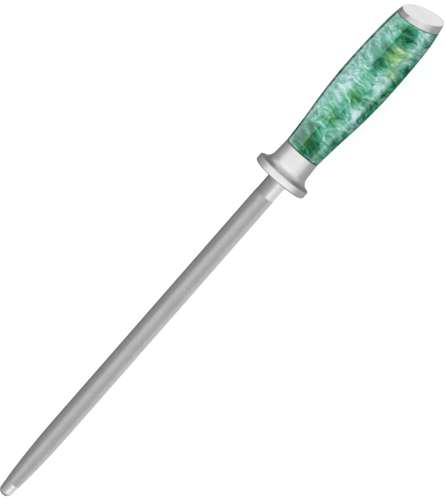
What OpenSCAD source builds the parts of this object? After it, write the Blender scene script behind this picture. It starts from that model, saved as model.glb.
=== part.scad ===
// Knife sharpening steel: a round coated rod, a cast bolster with a guard flange,
// a turned resin handle with an oblique steel end cap, and a tang bolted through the lot.
// X runs along the rod and +X points at the end cap. The origin is the centre of the
// guard's front face. The handle is symmetric about the XZ plane and droops towards -Z.

/* [Rod] */
// Length of rod in front of the guard
rod_length = 254; // [200:1:305]
// Diameter of the bare rod
rod_d = 12.9; // [12:0.1:13.5]
// Thickness of the abrasive coating
coat_t = 0.2; // [0.1:0.05:0.3]
// Length of bare polished rod next to the guard
collar_length = 13; // [6:1:30]
// Length of bare polished rod at the tip
tip_length = 9.4; // [5:0.1:12]
// Length over which the rod tapers towards the tip
taper_length = 55; // [40:1:60]
// Radius of the long arc that tapers the rod
taper_r = 570; // [500:10:900]
// Radius of the rounded nose
nose_r = 3.4; // [1.5:0.1:3.6]

/* [Tang] */
// Depth of the rod's seat in the bolster
seat_depth = 6; // [4:0.5:8]
// Diameter of the tang and of its thread
tang_d = 8; // [6:0.5:8]
// Where the tang ends
tang_end = 116.5; // [115:0.5:117]
// Length of the tang's thread
thread_length = 18; // [14:1:30]

/* [Bolster] */
// Diameter of the guard flange
guard_d = 36.4; // [32:0.2:42]
// Thickness of the guard flange
guard_t = 5.2; // [4:0.1:5.4]
// Rounding of the guard's front edge
guard_front_round = 1.5; // [0.5:0.1:2]
// Rounding of the guard's rear edge
guard_rear_round = 0.6; // [0.3:0.1:1]
// Length of the bolster from the guard's front face to the handle
bolster_length = 21; // [18:0.5:24]
// Diameter of the neck where the fillet starts
neck_d = 24.7; // [24.2:0.1:26]
// Radius of the fillet between the guard and the neck
fillet_r = 6.5; // [5.5:0.1:6.5]
// Diameter of the spigot that enters the handle
spigot_d = 14; // [12:0.5:16]
// Length of that spigot
spigot_length = 8; // [5:0.5:12]

/* [Handle] */
// Diameter of the handle at the bolster
handle_front_d = 23.7; // [23:0.1:24]
// Where the handle is widest
belly_x = 82; // [76:1:86]
// Diameter of the handle there
belly_d = 32; // [30:0.1:34]
// Radius of the hollow stretch behind the bolster
waist_r = 536; // [400:1:900]
// Radius of the swelling up to the belly
swell_r = 315; // [280:1:340]
// Radius of the slow fall behind the belly
rear_r = 560; // [450:10:700]
// Where that fall turns into the shoulder
shoulder_x = 113; // [108:1:116]
// Radius of the shoulder
shoulder_r = 90; // [70:1:120]
// Taper of the handle's last stretch, in degrees
end_taper = 11.3; // [9:0.1:13]
// Angle between the handle's own axis and the rod, in degrees
droop = 0.9; // [0:0.1:1.2]
// Diameter of the bore around the tang
tang_bore_d = 10; // [9:0.5:11]
// Thickness of the liner between the bolster and the resin
front_liner_t = 0.8; // [0.3:0.1:1]

/* [End cap] */
// Where the cap's joint crosses the handle's axis
joint_x = 125; // [123:0.1:126]
// Lean of the joint, in degrees
joint_lean = 15; // [10:0.5:17]
// Where the end face crosses the handle's axis
face_x = 130; // [129:0.1:132]
// Lean of the end face, in degrees
face_lean = 22; // [18:0.5:24]
// Thickness of the liner under the cap
rear_liner_t = 0.4; // [0.3:0.1:0.8]
// Diameter of the pocket that the cap's plug is glued into
pocket_d = 20; // [19.4:0.1:20.4]
// Floor of that pocket, where the clamp washer sits
pocket_floor_x = 104; // [103:0.5:105]
// Diameter of the cap's plug
plug_d = 19.4; // [18.6:0.1:19.4]
// Where the cap's plug starts
plug_x = 112; // [110:0.5:113]
// Diameter of the hollow in the plug
plug_hollow_d = 16; // [15.6:0.1:16.6]
// Floor of the hollow in the plug
hollow_floor_x = 119; // [118:0.5:119.5]

/* [Fasteners] */
// Diameter of the clamp washer
washer_d = 18; // [16:0.5:18.5]
// Thickness of the clamp washer
washer_t = 1.6; // [1.2:0.1:2]
// Diameter of the spring washer
spring_washer_d = 14.8; // [13:0.1:15]
// Thickness of the spring washer
spring_washer_t = 2; // [1.5:0.1:2.2]
// Width of the cut in the spring washer
spring_gap = 1.6; // [1:0.1:2.5]
// Radial clearance between each washer and the tang
washer_clearance = 0.2; // [0.1:0.05:0.5]
// Width of the nut across its flats
nut_flats = 13; // [12:0.5:13]
// Thickness of the nut
nut_t = 6.5; // [5:0.5:6.5]

/* [Hidden] */

// Segments of full turns, and of arcs so long that a few degrees of them are used
turn_fn = 96;
arc_fn = 1440;
// Larger than any radius of the part, for cutting shapes that run past it
past = 60;
// Arcs that meet at a tangent cross by lap and run on by run_on, so no sliver is left there
lap = 0.002;
run_on = 2;

rod_r = rod_d / 2;
tang_r = tang_d / 2;
guard_r = guard_d / 2;
neck_r = neck_d / 2;
handle_front_r = handle_front_d / 2;
belly_r = belly_d / 2;
tang_chamfer = 0.8;
thread_relief = 0.35;
nut_chamfer_r = nut_flats / 2 + 0.35;
handle_x = bolster_length + front_liner_t;
spring_x = pocket_floor_x + washer_t;
nut_x = spring_x + spring_washer_t;

// The taper arc meets the full diameter tangentially at taper_x
taper_x = taper_length - rod_length;
taper_centre = [rod_r - taper_r, taper_x];
// The nose arc is tangent to the taper arc inside it and to the tip's end
nose_x = nose_r - rod_length;
nose_angle = asin((taper_x - nose_x) / (taper_r - nose_r));
nose_centre = [taper_centre[0] + (taper_r - nose_r) * cos(nose_angle), nose_x];
nose_tangent_x = taper_x - taper_r * sin(nose_angle);

// The waist arc passes through the handle's front edge and is tangent to the swelling's arc
swell_centre = [belly_r - swell_r, belly_x];
front_from_swell = [handle_front_r - swell_centre[0], bolster_length - belly_x];
front_distance = norm(front_from_swell);
waist_angle = atan2(front_from_swell[1], front_from_swell[0])
    + acos((pow(waist_r + swell_r, 2) + pow(front_distance, 2) - pow(waist_r, 2))
           / (2 * (waist_r + swell_r) * front_distance));
waist_centre = swell_centre + (waist_r + swell_r) * [cos(waist_angle), sin(waist_angle)];
inflection_x = belly_x + swell_r * sin(waist_angle);

// The shoulder arc is tangent to the fall behind the belly, and then to the end taper
rear_centre = [belly_r - rear_r, belly_x];
shoulder_angle = asin((shoulder_x - belly_x) / rear_r);
shoulder_centre = rear_centre
    + (rear_r - shoulder_r) * [cos(shoulder_angle), sin(shoulder_angle)];
taper_start = shoulder_centre + shoulder_r * [cos(end_taper), sin(end_taper)];
barrel_end_x = 140;
barrel_end_r = taper_start[0] - (barrel_end_x - taper_start[1]) * tan(end_taper);

// A profile of [radius, station] points or shapes, turned about the X axis
module turned() {
    rotate([0, 90, 0]) rotate_extrude($fn = turn_fn) children();
}

// Plain profile shapes: a filled length from the axis, and one with a hole
module disc(from_x, to_x, r) {
    translate([0, from_x]) square([r, to_x - from_x]);
}

module ring(from_x, to_x, inner_r, outer_r) {
    translate([inner_r, from_x]) square([outer_r - inner_r, to_x - from_x]);
}

// A length whose outline is an arc that bulges outwards, or one that is hollow
module bulging(from_x, to_x, centre, r) {
    intersection() {
        disc(from_x, to_x, past);
        translate(centre) circle(r, $fn = arc_fn);
    }
}

module hollowed(from_x, to_x, centre, r) {
    difference() {
        disc(from_x, to_x, centre[0]);
        translate(centre) circle(r, $fn = arc_fn);
    }
}

// Outline of the rod between two stations behind its nose, grown by a skin
module rod_profile(from_x, to_x, skin) {
    disc(taper_x, to_x, rod_r + skin);
    bulging(from_x, taper_x + 1, taper_centre, taper_r + skin);
}

module nose_profile() {
    intersection() {
        disc(-rod_length, nose_tangent_x, rod_r);
        union() {
            translate(nose_centre) circle(nose_r, $fn = turn_fn);
            disc(-rod_length, nose_tangent_x, nose_centre[0]);
        }
    }
}

// Everything on one side of a plane that leans towards +Z and crosses the handle's axis at x
module behind_plane(x, lean) {
    on_handle_axis() translate([x, 0, 0]) rotate([0, -lean, 0])
        translate([0, -past, -past]) cube([past, 2 * past, 2 * past]);
}

// The handle's own axis leaves the rod's axis at the end of the bolster
module on_handle_axis() {
    translate([bolster_length, 0, 0]) rotate([0, droop, 0])
        translate([-bolster_length, 0, 0]) children();
}

// Outer form of the handle and cap, before the leaning planes divide it
module barrel() {
    cone_r = taper_start[0];
    cone_x = taper_start[1];
    on_handle_axis() turned() {
        hollowed(bolster_length, inflection_x, waist_centre, waist_r + lap);
        bulging(inflection_x - run_on, belly_x, swell_centre, swell_r);
        bulging(belly_x, shoulder_x, rear_centre, rear_r);
        bulging(shoulder_x - run_on, cone_x + run_on, shoulder_centre, shoulder_r + lap);
        polygon([[0, cone_x], [cone_r, cone_x], [barrel_end_r, barrel_end_x],
                 [0, barrel_end_x]]);
    }
}

module rod_core() {
    color("silver") turned() {
        nose_profile();
        rod_profile(nose_tangent_x, seat_depth, 0);
        disc(seat_depth, tang_end - thread_length, tang_r);
        disc(tang_end - thread_length, tang_end - thread_length + 1, tang_r - thread_relief);
        disc(tang_end - thread_length + 1, tang_end - tang_chamfer, tang_r);
        polygon([[0, tang_end - tang_chamfer], [tang_r, tang_end - tang_chamfer],
                 [tang_r - tang_chamfer, tang_end], [0, tang_end]]);
    }
}

module abrasive_coat() {
    color("darkgray") turned() difference() {
        rod_profile(tip_length - rod_length, -collar_length, coat_t);
        rod_profile(tip_length - rod_length - 1, 1 - collar_length, 0);
    }
}

// Guard flange with its two edges rounded
module guard_profile() {
    front = guard_front_round;
    rear = guard_rear_round;
    disc(0, guard_t, guard_r - max(front, rear));
    ring(front, guard_t - rear, guard_r - max(front, rear) - 1, guard_r);
    translate([guard_r - front, front]) circle(front, $fn = turn_fn);
    ring(guard_t - rear - 1, guard_t, guard_r - front - 1, guard_r - rear);
    translate([guard_r - rear, guard_t - rear]) circle(rear, $fn = turn_fn);
}

// Neck with a hollow fillet that runs up the back of the guard
module neck_profile() {
    fillet_x = guard_t + fillet_r - 0.2;
    difference() {
        disc(guard_t - 1, fillet_x, guard_r - guard_rear_round);
        translate([neck_r + fillet_r, fillet_x]) circle(fillet_r, $fn = turn_fn);
    }
    polygon([[0, fillet_x], [neck_r, fillet_x], [handle_front_r, bolster_length],
             [0, bolster_length]]);
}

module guard_bolster() {
    color("gainsboro") turned() difference() {
        union() {
            guard_profile();
            neck_profile();
            disc(bolster_length - 1, bolster_length + spigot_length, spigot_d / 2);
        }
        disc(-1, seat_depth, rod_r);
        disc(-1, bolster_length + spigot_length + 1, tang_r);
    }
}

module front_liner() {
    color("black") turned()
        ring(bolster_length, handle_x, spigot_d / 2, handle_front_r);
}

module resin_handle() {
    spigot_end_x = bolster_length + spigot_length;
    color("mediumseagreen") difference() {
        barrel();
        turned() disc(0, handle_x, past);
        turned() disc(0, spigot_end_x, spigot_d / 2);
        turned() disc(0, pocket_floor_x + 1, tang_bore_d / 2);
        turned() disc(pocket_floor_x, barrel_end_x, pocket_d / 2);
        behind_plane(joint_x - rear_liner_t, joint_lean);
    }
}

module tang_epoxy() {
    color("khaki") turned()
        ring(bolster_length + spigot_length, pocket_floor_x, tang_r, tang_bore_d / 2);
}

module clamp_washer() {
    color("lightgray") turned()
        ring(pocket_floor_x, spring_x, tang_r + washer_clearance, washer_d / 2);
}

module spring_washer() {
    color("slategray") difference() {
        turned() ring(spring_x, nut_x, tang_r + washer_clearance, spring_washer_d / 2);
        translate([spring_x - 1, 0, -spring_gap / 2])
            cube([spring_washer_t + 2, spring_washer_d, spring_gap]);
    }
}

// The nut's corners are turned off at both ends, as on a stock nut
module tang_nut() {
    corner_r = nut_flats / 2 / cos(30);
    corner_drop = 0.5;
    color("gray") difference() {
        intersection() {
            translate([nut_x, 0, 0]) rotate([0, 90, 0])
                cylinder(h = nut_t, r = corner_r, $fn = 6);
            turned() polygon([[0, nut_x], [nut_chamfer_r, nut_x],
                              [corner_r + 0.1, nut_x + corner_drop],
                              [corner_r + 0.1, nut_x + nut_t - corner_drop],
                              [nut_chamfer_r, nut_x + nut_t], [0, nut_x + nut_t]]);
        }
        turned() disc(nut_x - 1, nut_x + nut_t + 1, tang_r);
    }
}

module rear_liner() {
    color("black") difference() {
        barrel();
        on_handle_axis() translate([joint_x - rear_liner_t, 0, 0])
            rotate([0, -joint_lean, 0]) translate([-3 * past, -past, -past])
                cube([3 * past, 2 * past, 2 * past]);
        behind_plane(joint_x, joint_lean);
        turned() disc(pocket_floor_x, barrel_end_x, pocket_d / 2);
    }
}

module end_cap() {
    color("lightgray") difference() {
        union() {
            intersection() {
                barrel();
                behind_plane(joint_x, joint_lean);
            }
            turned() disc(plug_x, barrel_end_x, plug_d / 2);
        }
        behind_plane(face_x, face_lean);
        turned() disc(0, hollow_floor_x, plug_hollow_d / 2);
    }
}

module cap_epoxy() {
    color("khaki") difference() {
        turned() ring(plug_x, barrel_end_x, plug_d / 2, pocket_d / 2);
        behind_plane(joint_x, joint_lean);
    }
}

rod_core();
abrasive_coat();
guard_bolster();
front_liner();
resin_handle();
tang_epoxy();
clamp_washer();
spring_washer();
tang_nut();
rear_liner();
end_cap();
cap_epoxy();
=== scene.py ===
"""Looks of a knife sharpening steel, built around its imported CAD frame.

A round rod with an abrasive coat runs into a cast bolster with a guard flange. Behind it come a
turned handle of marbled resin and an oblique steel end cap, all held by a tang and a nut.

X runs along the rod and +X points at the end cap. The classes hold their sizes in millimetres,
and a length is turned into metres where a mesh, a light or the camera is made. Stations lie along
X, or along the handle's own axis, which droops a little.
"""

import logging
import math
from dataclasses import dataclass
from enum import Enum

import bmesh
import bpy
from mathutils import Matrix, Vector


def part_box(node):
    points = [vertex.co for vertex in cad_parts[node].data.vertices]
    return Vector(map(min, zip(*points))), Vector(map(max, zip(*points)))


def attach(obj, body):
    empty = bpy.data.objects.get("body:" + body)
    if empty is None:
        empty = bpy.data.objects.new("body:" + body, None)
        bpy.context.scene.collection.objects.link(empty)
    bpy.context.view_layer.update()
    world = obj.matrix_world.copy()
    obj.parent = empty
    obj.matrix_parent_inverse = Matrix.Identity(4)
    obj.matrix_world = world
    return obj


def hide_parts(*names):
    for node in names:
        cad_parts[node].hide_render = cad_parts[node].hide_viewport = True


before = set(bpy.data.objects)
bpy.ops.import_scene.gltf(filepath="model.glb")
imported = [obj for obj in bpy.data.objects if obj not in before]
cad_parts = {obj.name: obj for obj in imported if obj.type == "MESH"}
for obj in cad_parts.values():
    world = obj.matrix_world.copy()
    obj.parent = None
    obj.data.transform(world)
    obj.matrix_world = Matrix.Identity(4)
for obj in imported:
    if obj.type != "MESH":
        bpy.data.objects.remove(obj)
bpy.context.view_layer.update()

LOG = logging.getLogger("sharpening_steel")
BODY = "root"
MM = 0.001
ALONG = Vector((1.0, 0.0, 0.0))
TURN_STEPS = 128  # faces round a turned piece
WELD = 1e-7  # metres within which points are one
SHARP = math.radians(28)  # edges that turn less than this stay smooth
SLANT = math.sqrt(0.5)  # share of depth and of height where the view is 45 degrees down
WATTS = 4.0  # power of a square metre of light with a glow of 1
RANGE = ("From Min", "From Max", "To Min", "To Max")

Outline = list[tuple[float, float]]
Colour = tuple[float, float, float]


class Slot(Enum):
    """Material slots of the record, one for each finish."""

    POLISHED_STEEL = "polished_steel"
    GRIT = "grit_coating"
    SATIN_STEEL = "satin_cast_steel"
    FIBRE = "black_fibre"
    RESIN = "marbled_resin"
    EPOXY = "cured_epoxy"
    PLATED_STEEL = "plated_steel"
    SPRING_STEEL = "spring_steel"
    CAP_STEEL = "brushed_cap_steel"


class Fit(Enum):
    """How a turned solid changes the piece that it is fitted to."""

    JOIN = "UNION"
    BORE = "DIFFERENCE"


# ---------------------------------------------------------------------------------------------
# Shaping
# ---------------------------------------------------------------------------------------------


def arc(
    centre: tuple[float, float], radius: float, start: float, end: float, count: int
) -> Outline:
    """Points of a circular arc in an outline, both ends included.

    Args:
        centre: Station and radius of the arc's centre, in mm.
        radius: Radius of the arc, in mm.
        start: Angle of its first point from the X axis towards the outside, in degrees.
        end: Angle of its last point.
        count: Number of points.

    Returns:
        The points, as stations and radii in mm.
    """
    steps = [math.radians(start + (end - start) * i / (count - 1)) for i in range(count)]
    return [(centre[0] + radius * math.cos(a), centre[1] + radius * math.sin(a)) for a in steps]


def turn(name: str, outline: Outline, closed: bool = True) -> bpy.types.Object:
    """Turns an outline about the X axis with a live Screw modifier.

    Args:
        name: Name of the piece.
        outline: Stations and radii in mm. The outer side runs from rear to front.
        closed: Whether the last point joins the first, as in a ring. An open outline starts and
            ends on the axis.

    Returns:
        The new piece.
    """
    mesh = bpy.data.meshes.new(name)
    count = len(outline)
    edges = [(i, (i + 1) % count) for i in range(count if closed else count - 1)]
    mesh.from_pydata([(x * MM, 0.0, r * MM) for x, r in outline], edges, [])
    piece = bpy.data.objects.new(name, mesh)
    bpy.context.scene.collection.objects.link(piece)
    screw = piece.modifiers.new("turned about the axis", "SCREW")
    screw.axis = "X"
    screw.angle = math.tau
    screw.steps = TURN_STEPS
    screw.render_steps = TURN_STEPS
    screw.use_merge_vertices = True
    screw.merge_threshold = WELD
    screw.use_smooth_shade = True
    return piece


def break_edges(piece: bpy.types.Object, width: float, segments: int = 3) -> None:
    """Rounds a piece's sharp edges with a live Bevel modifier.

    Args:
        piece: The piece.
        width: Width of the rounding, in mm.
        segments: Faces across it.
    """
    bevel = piece.modifiers.new("broken edges", "BEVEL")
    bevel.limit_method = "ANGLE"
    bevel.angle_limit = SHARP
    bevel.width = width * MM
    bevel.segments = segments
    bevel.harden_normals = True


def freeze(piece: bpy.types.Object) -> None:
    """Applies a piece's whole modifier stack to its mesh.

    Args:
        piece: The piece.
    """
    evaluated = piece.evaluated_get(bpy.context.evaluated_depsgraph_get())
    mesh = bpy.data.meshes.new_from_object(evaluated)
    piece.modifiers.clear()
    piece.data = mesh


def combine(piece: bpy.types.Object, outline: Outline, how: Fit) -> None:
    """Joins a turned solid to a piece, or bores the piece with it.

    Args:
        piece: The piece that is changed.
        outline: Open outline of the solid.
        how: What the solid does to the piece.
    """
    helper = turn("helper", outline, closed=False)
    freeze(helper)
    boolean = piece.modifiers.new("fitted to its neighbour", "BOOLEAN")
    boolean.operation = how.value
    boolean.solver = "EXACT"
    boolean.object = helper
    freeze(piece)
    bpy.data.objects.remove(helper)


def slice_off(piece: bpy.types.Object, point: Vector, normal: Vector) -> None:
    """Cuts away the side of a plane that its normal points at, and closes the cut.

    Args:
        piece: A closed piece with no modifiers.
        point: A point of the plane, in metres.
        normal: Normal of the plane, towards the side that is removed.
    """
    shape = bmesh.new()
    shape.from_mesh(piece.data)
    everything = shape.verts[:] + shape.edges[:] + shape.faces[:]
    cut = bmesh.ops.bisect_plane(
        shape, geom=everything, dist=WELD, plane_co=point, plane_no=normal, clear_outer=True
    )
    rim = [item for item in cut["geom_cut"] if isinstance(item, bmesh.types.BMEdge)]
    bmesh.ops.edgeloop_fill(shape, edges=rim)
    bmesh.ops.recalc_face_normals(shape, faces=shape.faces[:])
    shape.to_mesh(piece.data)
    shape.free()


def dress(piece: bpy.types.Object, finish: bpy.types.Material) -> None:
    """Gives a piece one material.

    Args:
        piece: The piece.
        finish: The material.
    """
    piece.data.materials.clear()
    piece.data.materials.append(finish)


def fit(piece: bpy.types.Object, node: str, slot: Slot, finish: bpy.types.Material) -> None:
    """Dresses a finished piece and puts it in its CAD node's place.

    Args:
        piece: The finished piece.
        node: The CAD node that it stands for.
        slot: Its material slot in the record.
        finish: Its material.
    """
    dress(piece, finish)
    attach(piece, BODY)
    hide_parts(node)
    LOG.info("%s stands for %s in %s", piece.name, node, slot.value)


# ---------------------------------------------------------------------------------------------
# Finishes
# ---------------------------------------------------------------------------------------------


def begin(
    slot: Slot, label: str, width: int
) -> tuple[bpy.types.Material, bpy.types.NodeSocket, bpy.types.Node]:
    """Starts a finish with the place on the piece, the shader and its output.

    Args:
        slot: The material slot that gives the material its name.
        label: What the shader makes on the piece.
        width: Room between the two for the finish's own nodes.

    Returns:
        The material, the place on the piece in millimetres, and the shader.
    """
    material = bpy.data.materials.new(slot.value)
    material.use_nodes = True
    nodes = material.node_tree.nodes
    links = material.node_tree.links
    nodes.clear()
    place = nodes.new("ShaderNodeTexCoord")
    place.label = "Place on the piece"
    place.location = (-500, 0)
    millimetres = nodes.new("ShaderNodeMapping")
    millimetres.label = "Millimetres"
    millimetres.location = (-250, 0)
    millimetres.inputs["Scale"].default_value = (1 / MM, 1 / MM, 1 / MM)
    links.new(place.outputs["Object"], millimetres.inputs["Vector"])
    shader = nodes.new("ShaderNodeBsdfPrincipled")
    shader.label = label
    shader.location = (width, 0)
    output = nodes.new("ShaderNodeOutputMaterial")
    output.label = "Surface"
    output.location = (width + 300, 0)
    links.new(shader.outputs["BSDF"], output.inputs["Surface"])
    return material, millimetres.outputs["Vector"], shader


@dataclass(frozen=True)
class PlainFinish:
    """A plain material: its clouded tone, its polish and the marks of how it was made.

    Attributes:
        slot: The material slot.
        dark: Colour of its darker patches, linear.
        light: Colour of its lighter patches, linear.
        cloud: Patches of tone to the millimetre.
        grain: Tool marks or fibres to the millimetre, along X, Y and Z.
        depth: Depth of the marks, in mm.
        smooth: Lowest roughness.
        rough: Highest roughness.
        speck: Contrast that the marks add to the tone.
        metal: Whether it is a metal, 1 or 0.
        clear: How much light passes through it, from 0 to 1.
    """

    slot: Slot
    dark: Colour
    light: Colour
    cloud: float
    grain: tuple[float, float, float]
    depth: float
    smooth: float
    rough: float
    speck: float = 0.1
    metal: float = 1.0
    clear: float = 0.0

    def material(self) -> bpy.types.Material:
        """Builds the node tree of the finish.

        Returns:
            The material.
        """
        material, place, shader = begin(self.slot, "Plain surface", 1300)
        nodes = material.node_tree.nodes
        links = material.node_tree.links

        tone_frame = nodes.new("NodeFrame")
        tone_frame.label = "Tone"
        cloud = nodes.new("ShaderNodeTexNoise")
        cloud.label = "Patches of tone"
        cloud.inputs["Scale"].default_value = self.cloud
        cloud.inputs["Detail"].default_value = 4.0
        cloud.inputs["Roughness"].default_value = 0.55
        links.new(place, cloud.inputs["Vector"])
        tone = nodes.new("ShaderNodeMix")
        tone.label = "Dark to light"
        tone.data_type = "RGBA"
        tone.inputs["A"].default_value = (*self.dark, 1.0)
        tone.inputs["B"].default_value = (*self.light, 1.0)

        marks_frame = nodes.new("NodeFrame")
        marks_frame.label = "Tool marks"
        direction = nodes.new("ShaderNodeMapping")
        direction.label = "Run of the marks"
        direction.inputs["Scale"].default_value = self.grain
        links.new(place, direction.inputs["Vector"])
        marks = nodes.new("ShaderNodeTexNoise")
        marks.label = "Marks"
        marks.inputs["Scale"].default_value = 1.0
        marks.inputs["Detail"].default_value = 3.0
        marks.inputs["Roughness"].default_value = 0.65
        links.new(direction.outputs["Vector"], marks.inputs["Vector"])
        speck = nodes.new("ShaderNodeMapRange")
        speck.label = "Marks in the tone"
        for name, value in zip(RANGE, (0.3, 0.7, -self.speck, self.speck)):
            speck.inputs[name].default_value = value
        links.new(marks.outputs["Fac"], speck.inputs["Value"])
        blend = nodes.new("ShaderNodeMath")
        blend.label = "Patches and marks"
        blend.operation = "ADD"
        blend.use_clamp = True
        links.new(cloud.outputs["Fac"], blend.inputs[0])
        links.new(speck.outputs["Result"], blend.inputs[1])
        links.new(blend.outputs["Value"], tone.inputs["Factor"])

        relief = nodes.new("ShaderNodeBump")
        relief.label = "Relief of the marks"
        relief.inputs["Strength"].default_value = 1.0
        relief.inputs["Distance"].default_value = self.depth * MM
        links.new(marks.outputs["Fac"], relief.inputs["Height"])

        polish_frame = nodes.new("NodeFrame")
        polish_frame.label = "Polish"
        wear = nodes.new("ShaderNodeTexNoise")
        wear.label = "Handling wear"
        wear.inputs["Scale"].default_value = self.cloud * 2.3
        wear.inputs["Detail"].default_value = 5.0
        links.new(place, wear.inputs["Vector"])
        polish = nodes.new("ShaderNodeMapRange")
        polish.label = "Smooth to rough"
        for name, value in zip(RANGE, (0.3, 0.7, self.smooth, self.rough)):
            polish.inputs[name].default_value = value
        links.new(wear.outputs["Fac"], polish.inputs["Value"])

        for group, top, row in (
            (tone_frame, 400, (cloud, blend, tone)),
            (marks_frame, 0, (direction, marks, speck, relief)),
            (polish_frame, -400, (wear, polish)),
        ):
            for column, node in enumerate(row):
                node.parent = group
                node.location = (300 * column, top)

        shader.inputs["Metallic"].default_value = self.metal
        shader.inputs["Transmission Weight"].default_value = self.clear
        links.new(tone.outputs["Result"], shader.inputs["Base Color"])
        links.new(polish.outputs["Result"], shader.inputs["Roughness"])
        links.new(relief.outputs["Normal"], shader.inputs["Normal"])
        return material


@dataclass(frozen=True)
class GritFinish:
    """The rod's coat: fine abrasive grit held in a metal plating.

    Attributes:
        plating: Colour of the plating between the grains, linear.
        grain: Colour of the grains' tips, linear.
        grains: Grains to the millimetre.
        depth: Height of the grains, in mm.
        cloud: Patches of uneven plating to the millimetre.
        metal: Share of the surface that is bare metal.
        rough: Roughness of the coat.
    """

    plating: Colour = (0.47, 0.47, 0.475)
    grain: Colour = (0.66, 0.66, 0.665)
    grains: float = 1.7
    depth: float = 0.05
    cloud: float = 0.08
    metal: float = 0.75
    rough: float = 0.4

    def material(self) -> bpy.types.Material:
        """Builds the node tree of the finish.

        Returns:
            The material.
        """
        material, place, shader = begin(Slot.GRIT, "Coat", 1600)
        nodes = material.node_tree.nodes
        links = material.node_tree.links

        grit_frame = nodes.new("NodeFrame")
        grit_frame.label = "Grit"
        grains = nodes.new("ShaderNodeTexVoronoi")
        grains.label = "Grains"
        grains.inputs["Scale"].default_value = self.grains
        links.new(place, grains.inputs["Vector"])
        size = nodes.new("ShaderNodeSeparateColor")
        size.label = "Each grain's own height"
        links.new(grains.outputs["Color"], size.inputs["Color"])
        dust = nodes.new("ShaderNodeTexNoise")
        dust.label = "Finer grit"
        dust.inputs["Scale"].default_value = self.grains * 2.0
        dust.inputs["Detail"].default_value = 2.0
        links.new(place, dust.inputs["Vector"])
        height = nodes.new("ShaderNodeMath")
        height.label = "Grain height"
        height.operation = "MULTIPLY_ADD"
        height.inputs[1].default_value = 0.5
        links.new(size.outputs["Red"], height.inputs[0])
        links.new(dust.outputs["Fac"], height.inputs[2])
        relief = nodes.new("ShaderNodeBump")
        relief.label = "Relief of the grit"
        relief.inputs["Strength"].default_value = 1.0
        relief.inputs["Distance"].default_value = self.depth * MM
        links.new(height.outputs["Value"], relief.inputs["Height"])

        tone_frame = nodes.new("NodeFrame")
        tone_frame.label = "Tone"
        cloud = nodes.new("ShaderNodeTexNoise")
        cloud.label = "Uneven plating"
        cloud.inputs["Scale"].default_value = self.cloud
        cloud.inputs["Detail"].default_value = 5.0
        links.new(place, cloud.inputs["Vector"])
        mixture = nodes.new("ShaderNodeMath")
        mixture.label = "Grains over the plating"
        mixture.operation = "MULTIPLY_ADD"
        mixture.use_clamp = True
        mixture.inputs[1].default_value = 0.8
        links.new(height.outputs["Value"], mixture.inputs[0])
        patches = nodes.new("ShaderNodeMapRange")
        patches.label = "Patches"
        for name, value in zip(RANGE, (0.0, 1.0, -0.35, 0.05)):
            patches.inputs[name].default_value = value
        links.new(cloud.outputs["Fac"], patches.inputs["Value"])
        links.new(patches.outputs["Result"], mixture.inputs[2])
        tone = nodes.new("ShaderNodeMix")
        tone.label = "Plating to grain"
        tone.data_type = "RGBA"
        tone.inputs["A"].default_value = (*self.plating, 1.0)
        tone.inputs["B"].default_value = (*self.grain, 1.0)
        links.new(mixture.outputs["Value"], tone.inputs["Factor"])

        for group, top, row in (
            (tone_frame, 400, (cloud, patches, mixture, tone)),
            (grit_frame, 0, (grains, size, dust, height, relief)),
        ):
            for column, node in enumerate(row):
                node.parent = group
                node.location = (300 * column, top)

        shader.inputs["Metallic"].default_value = self.metal
        shader.inputs["Roughness"].default_value = self.rough
        links.new(tone.outputs["Result"], shader.inputs["Base Color"])
        links.new(relief.outputs["Normal"], shader.inputs["Normal"])
        return material


@dataclass(frozen=True)
class Dye:
    """A pool of dye in the cast resin.

    Attributes:
        place: Its middle, in mm.
        reach: How far it spreads, in mm.
        tone: The tone that it pulls the resin to, from 0 for the darkest green to 1 for pearl.
        strength: How much of the resin it takes over at its middle.
    """

    place: tuple[float, float, float]
    reach: float
    tone: float
    strength: float


@dataclass(frozen=True)
class StreakLayer:
    """One size of the folds that pearl pigment makes in the resin.

    Attributes:
        name: What the layer is called in the node tree.
        folds: Folds to the millimetre.
        across: Streaks to the millimetre across a fold.
        along: Streaks to the millimetre along it.
        lean: Greatest lean of a fold's streaks from the way round the handle, in radians.
        curl: How strongly the streaks bend, per mm.
        contrast: Tone that the streaks add.
        patch: Tone that a whole fold adds.
    """

    name: str
    folds: float
    across: float
    along: float
    lean: float
    curl: float
    contrast: float
    patch: float


@dataclass(frozen=True)
class Ramp:
    """Colours that the marbling takes from its darkest tone to its palest.

    Attributes:
        name: What the ramp is called in the node tree.
        stops: Tones from 0 to 1, each with its linear colour.
    """

    name: str
    stops: tuple[tuple[float, Colour], ...]


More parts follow.
